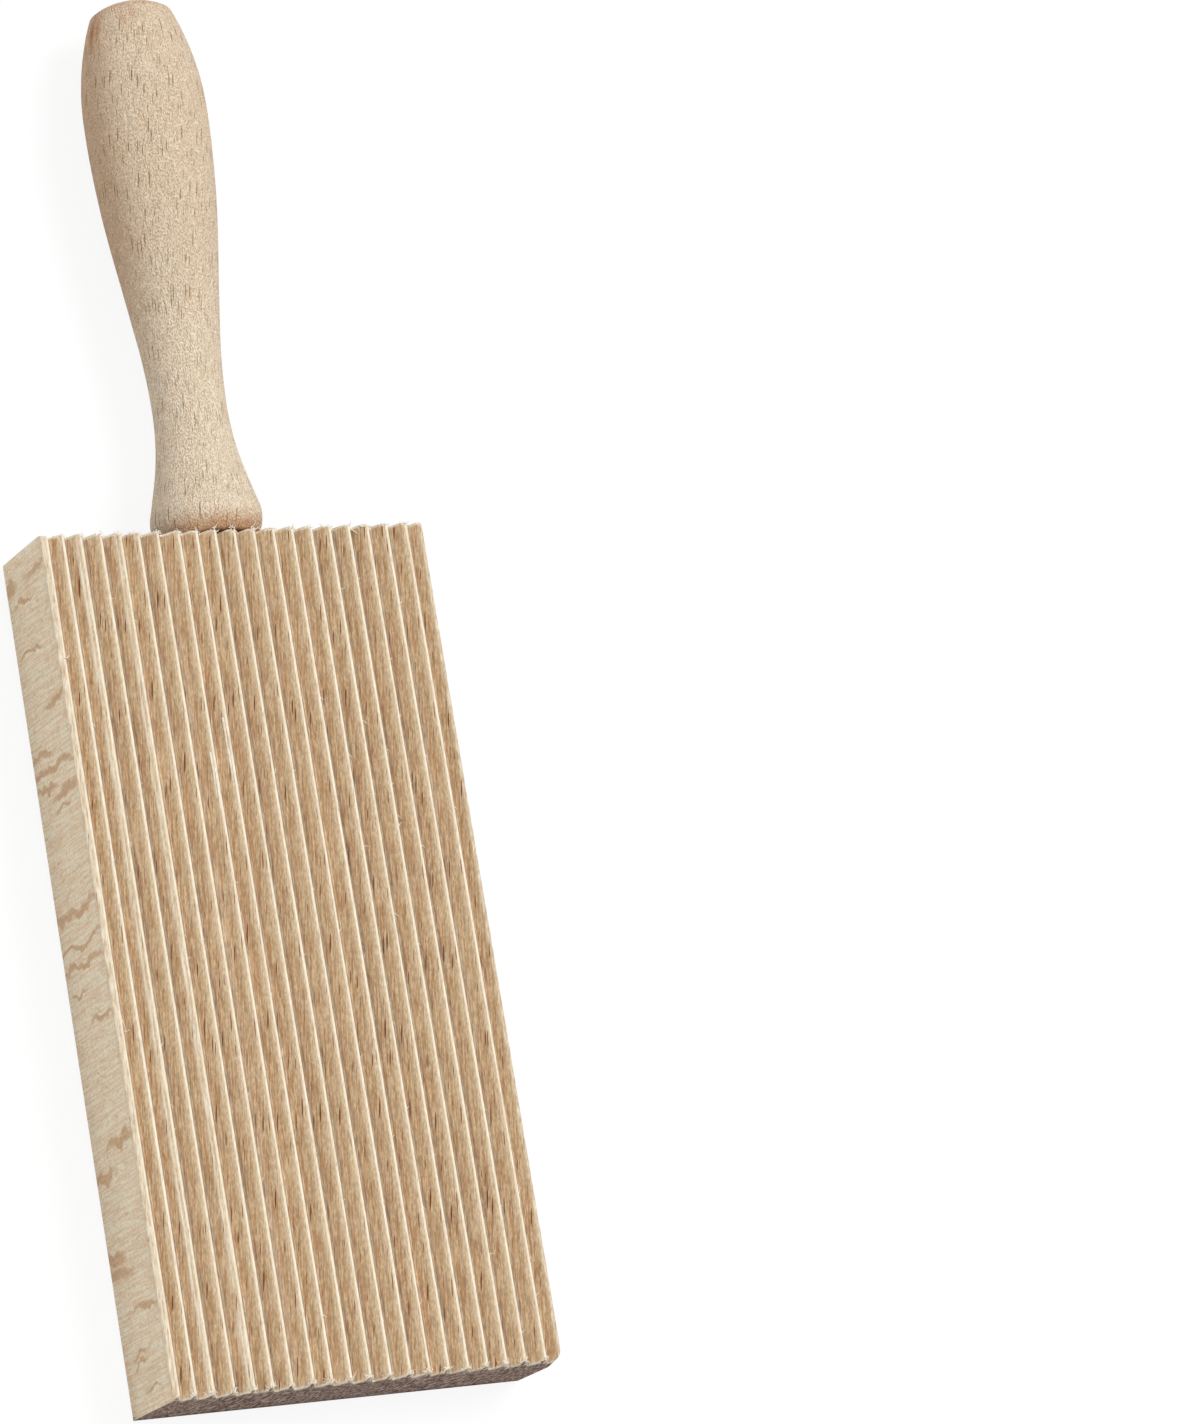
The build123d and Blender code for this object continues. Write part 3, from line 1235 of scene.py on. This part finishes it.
        # The worn, stain and deep colours also carry the handle's painted shade and reflected light
        finish = Beech(
            Cut.SANDED, Spread.TURNED, pale="fbe9d0", tan="f6dfc1", fleck="94682a",
            stain_and_painted_reflection="c8813f", worn_and_painted_shade="cda078", deep="8a6748",
            dashes=(Dash((0.62, 8.6), 0.125, 0.85, 0.75), Dash((0.5, 6.0), 0.12, 0.7, 0.4)),
            grain_turn=7.0, streak_cell=(0.3, 4.0, 0.5), streak_from=0.34, streak_to=0.66,
            warm="ecc39a", warm_share=0.05, worn_and_shade_share=0.6, mottle_cell=(0.2, 0.36, 0.2),
            mottle_share=0.19, bump_depth=0.5,
        )
        handle.data.materials.append(finish.material())


# ------------------------------------------------------------------------------------ torn fibres


@dataclass(frozen=True)
class Fibre:
    """One torn fibre as the points that its curve follows, with its thickness at the root."""

    points: tuple[Point, ...]
    thickness: float


@dataclass
class TornFibres:
    """The whiskers, curls and strands that the cutter left standing on the board."""

    board: RibbedBoard
    seed: int = 7
    highest: float = 19.1
    burrs_per_end: int = 9
    hooks_per_ridge: int = 2
    whiskers_per_ridge: int = 6
    steps: int = 5
    # Long ones by their places: distance from the left edge and from the handle's end, heading and
    # slope at the root, length, turn along it and thickness
    placed: tuple[tuple[float, ...], ...] = (
        (50.6, 0.6, -38, 8, 1.9, 0, 0.1), (41.2, 0.25, -37, 10, 1.2, 20, 0.09),
        (42.9, 0.7, -59, 10, 0.9, -20, 0.08), (48.0, 0.3, -100, 8, 1.0, 30, 0.09),
        (26.7, 129.7, 135, 12, 1.8, 0, 0.09), (28.3, 129.7, 54, 12, 1.8, 0, 0.09),
        (53.3, 129.6, 20, 20, 1.2, 120, 0.1), (53.7, 129.5, 140, 20, 1.1, -140, 0.1),
        (54.2, 129.6, 160, 25, 1.3, -100, 0.1), (54.6, 129.5, 60, 20, 1.0, 160, 0.1),
        (53.9, 129.2, 10, 15, 0.9, 200, 0.09), (0.7, 19.0, -15, 25, 1.5, 110, 0.13),
        (0.9, 71.4, -84, 4, 2.3, 5, 0.1), (1.15, 73.6, -78, 4, 1.9, 10, 0.1),
        (1.5, 75.4, -20, 6, 1.0, 80, 0.1), (47.6, 30.6, -45, 10, 1.2, 20, 0.08),
        (50.7, 45.6, -50, 10, 1.0, 20, 0.08), (53.8, 50.4, -40, 10, 1.0, -20, 0.08),
        (44.3, 35.8, -55, 10, 1.1, 10, 0.08), (41.1, 26.8, -50, 10, 1.0, 20, 0.07),
        (27.9, -0.1, 20, 8, 1.5, 60, 0.09), (29.1, 0.0, 10, 12, 1.6, 70, 0.09),
        (30.6, -0.1, 15, 12, 1.6, 60, 0.09), (31.5, 0.0, 165, 12, 1.2, -90, 0.09),
        (33.0, -0.1, 5, 10, 1.7, 50, 0.09), (34.2, 0.0, 25, 12, 1.5, 60, 0.09),
        (35.4, -0.1, 15, 10, 1.4, 40, 0.09), (36.3, 0.0, 150, 12, 1.1, -80, 0.09),
        (24.65, 29.3, -91, 2.0, 7.0, 1, 0.24), (25.15, 31.6, -92, 1.8, 7.0, 0, 0.22),
        (24.7, 34.0, -90, 2.0, 6.0, -2, 0.24), (21.75, 34.5, -91, 2.0, 7.0, 1, 0.22),
        (22.15, 37.0, -92, 1.8, 7.0, 0, 0.22), (37.8, 42.5, -91, 2.0, 4.5, 0, 0.18),
    )

    def strand(
        self, root: Point, heading: float, rise: float, length: float, curl: float
    ) -> tuple[Point, ...]:
        """A strand's points.

        Args:
            root: where it leaves the board.
            heading: its direction in the plane of the board, in degrees from +X.
            rise: the slope at which it starts, in degrees.
            length: its length.
            curl: how far its heading turns along it, in degrees.

        Returns:
            The points from root to tip.
        """
        points = [root]
        x, y, z = root
        step = length / self.steps
        for number in range(self.steps):
            turn = math.radians(heading + curl * number / self.steps)
            # It starts upwards, lies level at its third point and then hangs
            lift = math.radians(rise * (1 - 0.5 * number))
            x += step * math.cos(turn) * math.cos(lift)
            y += step * math.sin(turn) * math.cos(lift)
            z += step * math.sin(lift)
            points.append((x, y, z))
        return tuple(points)

    def on_ridge(self, ridge: int, off: float, along: float) -> Point:
        """A point on the ribbed face, beside a ridge's centre and along from the far end."""
        across = self.board.ridge_centres[ridge] + off
        return (
            across - self.board.width / 2,
            self.board.far_end + along,
            self.board.crest - self.board.section.drop(across) - 0.08,
        )

    def burr(self, draw: random.Random, ridge: int, at_far: bool) -> Fibre:
        """A short curled fibre at one end of a ridge.

        Args:
            draw: where the random numbers come from.
            ridge: number of its ridge.
            at_far: whether it is at the far end.

        Returns:
            The fibre.
        """
        off = draw.choice((draw.uniform(-0.8, 0.6), draw.uniform(0.2, 0.6)))
        place = draw.uniform(0.35, 0.8) if at_far else self.board.length - draw.uniform(0.25, 0.6)
        heading, slope = draw.uniform(-30, 210), draw.uniform(5, 60 if at_far else 15)
        root = self.on_ridge(ridge, off, place)
        length, curl = draw.uniform(0.4, 0.95), draw.uniform(-220, 220)
        return Fibre(self.strand(root, heading, slope, length, curl), draw.uniform(0.07, 0.12))

    def hook(self, draw: random.Random, ridge: int) -> Fibre:
        """A fibre that hooks round over the far end, from behind a broken crest.

        Args:
            draw: where the random numbers come from.
            ridge: number of its ridge.

        Returns:
            The fibre.
        """
        off = draw.uniform(0.35, 0.5)
        reach = self.board.chip_reach(self.board.ridge_centres[ridge] + off)
        root = self.on_ridge(ridge, off, reach + draw.uniform(0.4, 0.6))
        heading, slope = draw.uniform(-105, -90), draw.uniform(2, 12)
        length, curl = draw.uniform(1.1, 1.6), draw.uniform(-130, -90)
        return Fibre(self.strand(root, heading, slope, length, curl), draw.uniform(0.08, 0.11))

    def whisker(self, draw: random.Random, ridge: int) -> Fibre:
        """A fine fibre that stands off a ridge's right shoulder.

        Args:
            draw: where the random numbers come from.
            ridge: number of its ridge.

        Returns:
            The fibre.
        """
        off = draw.uniform(0.4, 0.5)
        root = self.on_ridge(ridge, off, draw.uniform(3, self.board.length - 3))
        heading = draw.choice((-70, 60)) + draw.uniform(-40, 40)
        slope, length, curl = draw.uniform(5, 40), draw.uniform(0.4, 1.2), draw.uniform(-90, 90)
        return Fibre(self.strand(root, heading, slope, length, curl), draw.uniform(0.05, 0.08))

    def lip(self, draw: random.Random, ridge: int, at_far: bool) -> Fibre:
        """A torn lip that follows a ridge's outline at one end, from right to left.

        Args:
            draw: where the random numbers come from.
            ridge: number of its ridge.
            at_far: whether it is at the far end.

        Returns:
            The fibre.
        """
        middle = self.board.ridge_centres[ridge] - self.board.width / 2
        inward = 0.08 if at_far else -0.08
        points = [
            (x, y + inward, z + 0.03) for x, y, z in self.board.end_lines[at_far]
            if middle - draw.uniform(0.9, 1.5) < x < middle + 0.52
        ]
        return Fibre(tuple(reversed(points)), draw.uniform(0.08, 0.1))

    def long_one(self, row: tuple[float, ...]) -> Fibre:
        """Makes one of the long fibres.

        Args:
            row: its place and shape.

        Returns:
            The fibre.
        """
        across, from_handle, heading, rise, length, curl, thickness = row
        root = (
            across - self.board.width / 2,
            self.board.handle_end - from_handle,
            self.board.crest - self.board.section.drop(across) - 0.1,
        )
        return Fibre(self.strand(root, heading, rise, length, curl), thickness)

    def fibres(self) -> list[Fibre]:
        """Lays out the burrs, hooks, whiskers and lips by chance, and the long ones by place.

        Returns:
            Every fibre.
        """
        draw = random.Random(self.seed)
        ridges = range(1, len(self.board.ridge_centres) - 1)
        ends = (True, False)
        made: list[Fibre] = []
        for ridge in ridges:
            for at_far in ends:
                made += [self.burr(draw, ridge, at_far) for _ in range(self.burrs_per_end)]
            made += [self.hook(draw, ridge) for _ in range(self.hooks_per_ridge)]
            made += [self.whisker(draw, ridge) for _ in range(self.whiskers_per_ridge)]
        made += [self.lip(draw, ridge, at_far) for at_far in ends for ridge in ridges]
        made += [self.long_one(row) for row in self.placed]
        return [self.held_inside(fibre) for fibre in made]

    def held_inside(self, fibre: Fibre) -> Fibre:
        """Keeps a fibre over the board, or past its handle's end, and no higher than the part.

        Args:
            fibre: the fibre as drawn.

        Returns:
            The fibre with its points moved in.
        """
        keep = fibre.thickness + 0.02
        half = self.board.width / 2 - keep
        nearest = self.board.far_end + keep
        points = tuple(
            (min(max(x, -half), half), max(y, nearest), min(z, self.highest - keep))
            for x, y, z in fibre.points
        )
        return Fibre(points, fibre.thickness)

    def build(self) -> bpy.types.Object:
        """Draws the fibres as one tapered curve object and turns it into a mesh.

        Returns:
            The finished piece.
        """
        curve = bpy.data.curves.new("torn_fibres", "CURVE")
        curve.dimensions = "3D"
        curve.bevel_depth = MM
        curve.bevel_resolution = 0
        curve.use_fill_caps = True
        for fibre in self.fibres():
            spline = curve.splines.new("POLY")
            spline.points.add(len(fibre.points) - 1)
            for number, (point, place) in enumerate(zip(spline.points, fibre.points)):
                point.co = (*(value * MM for value in place), 1.0)
                point.radius = fibre.thickness * (1 - 0.8 * number / (len(fibre.points) - 1))
        drawn = bpy.data.objects.new("torn_fibres", curve)
        bpy.context.collection.objects.link(drawn)
        make_active(drawn)
        bpy.ops.object.convert(target="MESH")
        return bpy.context.object

    def dress(self, fibres: bpy.types.Object) -> None:
        """Gives the fibres their torn beech: dry and pale, because light scatters in them."""
        finish = Beech(
            Cut.TORN, Spread.FACE, pale="fffaee", tan="f8ead2", fleck="d9bd92", warm_share=0.05,
            roughness=0.6,
        )
        fibres.data.materials.append(finish.material())


# -------------------------------------------------------------------------------------------- glue


@dataclass
class TenonGlue:
    """The cured glue round the tenon, which keeps its CAD shape."""

    node: str = "tenon_glue"

    def dress(self) -> None:
        """Gives the glue a cured white wood glue: amber, half clear, with fine bubbles."""
        made = bpy.data.materials.new("wood_glue_cured")
        nodes = NodeTree.emptied(made)
        place = nodes.add("TexCoord").outputs["Object"]
        cloud = nodes.cloud(place, (0.8, 0.8, 0.8), 0.0, 3.0)
        colour = nodes.mix(nodes.span(cloud, 0.35, 0.7), srgb("c9a968"), srgb("e6d2a4"))
        bump = nodes.add("Bump", {"Height": cloud, "Strength": 0.6, "Distance": 0.05 * MM})
        shader = nodes.add(
            "BsdfPrincipled",
            {
                "Base Color": colour,
                "Roughness": 0.35,
                "IOR": 1.47,
                "Subsurface Weight": 0.2,
                "Subsurface Scale": 0.4 * MM,
                "Normal": bump.outputs[0],
            },
        )
        nodes.add("OutputMaterial", {"Surface": shader.outputs[0]})
        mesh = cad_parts[self.node].data
        mesh.materials.clear()
        mesh.materials.append(made)


# ------------------------------------------------------------------------------------------ studio


@dataclass
class Studio:
    """The pale floor, the soft lights, the even surrounding light and the camera.

    The object rests on the floor by the handle's belly and the board's far edge.
    """

    floor_size: float = 6000.0
    belly_place: float = 89.8
    far_edge_place: float = -108.5
    far_edge_height: float = 1.55
    floor_gap: float = 0.02
    paper_shade: float = 0.72
    shadow_share: float = 0.12
    floor_glow: float = 0.89
    key_strength: float = 1.7
    key_angle: float = 24.0
    key_from: Point = (0.37, 0.25, 0.9)
    fill_strength: float = 0.5
    fill_angle: float = 50.0
    fill_from: Point = (-0.55, -0.1, 0.83)
    sky_strength: float = 0.42
    lens: float = 163.39
    camera_place: Point = (-396.55, -233.84, 865.65)
    camera_turn: Point = (17.916, -25.438, -10.647)

    def add_floor(self) -> None:
        """Lays the floor of pale matt paper under the object, tilted as it rests."""
        tilt = math.atan2(self.far_edge_height, self.belly_place - self.far_edge_place)
        deselect()
        bpy.ops.mesh.primitive_plane_add(
            size=self.floor_size * MM, location=(0, self.belly_place * MM, -self.floor_gap * MM)
        )
        floor = bpy.context.object
        floor.name = "floor"
        floor.rotation_euler = (-tilt, 0, 0)
        made = bpy.data.materials.new("studio_floor_paper")
        nodes = NodeTree.emptied(made)
        # To the camera the unshaded floor is just white and its shadow a faint grey; to the
        # object it is plain pale paper
        paper = nodes.add("BsdfDiffuse", {"Color": grey(self.paper_shade)})
        shown = nodes.add("BsdfDiffuse", {"Color": grey(self.shadow_share)})
        glow = nodes.add("Emission", {"Color": grey(1.0), "Strength": self.floor_glow})
        both = nodes.add("AddShader", {0: shown.outputs[0], 1: glow.outputs[0]})
        path = nodes.add("LightPath").outputs
        seen = nodes.math("MAXIMUM", path["Is Camera Ray"], path["Is Glossy Ray"])
        seen = nodes.math("MAXIMUM", seen, path["Is Transmission Ray"])
        surface = nodes.add("MixShader", {0: seen, 1: paper.outputs[0], 2: both.outputs[0]})
        nodes.add("OutputMaterial", {"Surface": surface.outputs[0]})
        floor.data.materials.append(made)

    def add_lights(self) -> None:
        """Adds the key light from the upper right, a weak fill and the surrounding light."""
        for name, strength, angle, direction in (
            ("key_light", self.key_strength, self.key_angle, self.key_from),
            ("fill_light", self.fill_strength, self.fill_angle, self.fill_from),
        ):
            lamp = bpy.data.objects.new(name, bpy.data.lights.new(name, "SUN"))
            lamp.data.energy = strength
            lamp.data.angle = math.radians(angle)
            lamp.rotation_euler = Vector(direction).to_track_quat("Z", "Y").to_euler()
            bpy.context.collection.objects.link(lamp)
        world = bpy.data.worlds.new("studio")
        bpy.context.scene.world = world
        nodes = NodeTree.emptied(world)
        # The camera sees plain white, and the object an even pale light
        camera_ray = nodes.add("LightPath").outputs["Is Camera Ray"]
        around, white = (
            nodes.add("Background", {"Color": grey(1.0), "Strength": strength}).outputs[0]
            for strength in (self.sky_strength, 1.0)
        )
        surface = nodes.add("MixShader", {0: camera_ray, 1: around, 2: white})
        nodes.add("OutputWorld", {"Surface": surface.outputs[0]})

    def add_camera(self) -> None:
        """Adds the camera where the photograph's was."""
        camera = bpy.data.objects.new("camera", bpy.data.cameras.new("camera"))
        camera.data.lens = self.lens
        camera.data.sensor_width = 36.0
        camera.location = [value * MM for value in self.camera_place]
        camera.rotation_euler = [math.radians(value) for value in self.camera_turn]
        camera.data.clip_end = 20.0
        bpy.context.collection.objects.link(camera)
        bpy.context.scene.camera = camera

    def build(self) -> None:
        """Sets up the whole studio."""
        self.add_floor()
        self.add_lights()
        self.add_camera()
        bpy.context.scene.view_settings.view_transform = "Standard"


def main() -> None:
    """Builds the pieces in order, dresses them and sets up the studio."""
    logging.basicConfig(level=logging.INFO, format="%(message)s")
    log = logging.getLogger("gnocchi_board")
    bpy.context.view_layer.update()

    ribbed_board = RibbedBoard()
    board = ribbed_board.build()
    ribbed_board.dress(board)
    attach(board, "root")
    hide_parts("grooved_board")
    log.info("board: %d faces", len(board.data.polygons))

    turned_handle = TurnedHandle()
    handle = turned_handle.build()
    turned_handle.dress(handle)
    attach(handle, "root")
    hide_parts("turned_handle")
    log.info("handle: %d faces", len(handle.data.polygons))

    torn_fibres = TornFibres(ribbed_board)
    fibres = torn_fibres.build()
    torn_fibres.dress(fibres)
    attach(fibres, "root")
    log.info("torn fibres: %d faces", len(fibres.data.polygons))

    TenonGlue().dress()
    log.info("tenon glue: dressed")

    Studio().build()
    log.info("studio: floor, lights and camera")


if __name__ == "__main__":
    main()
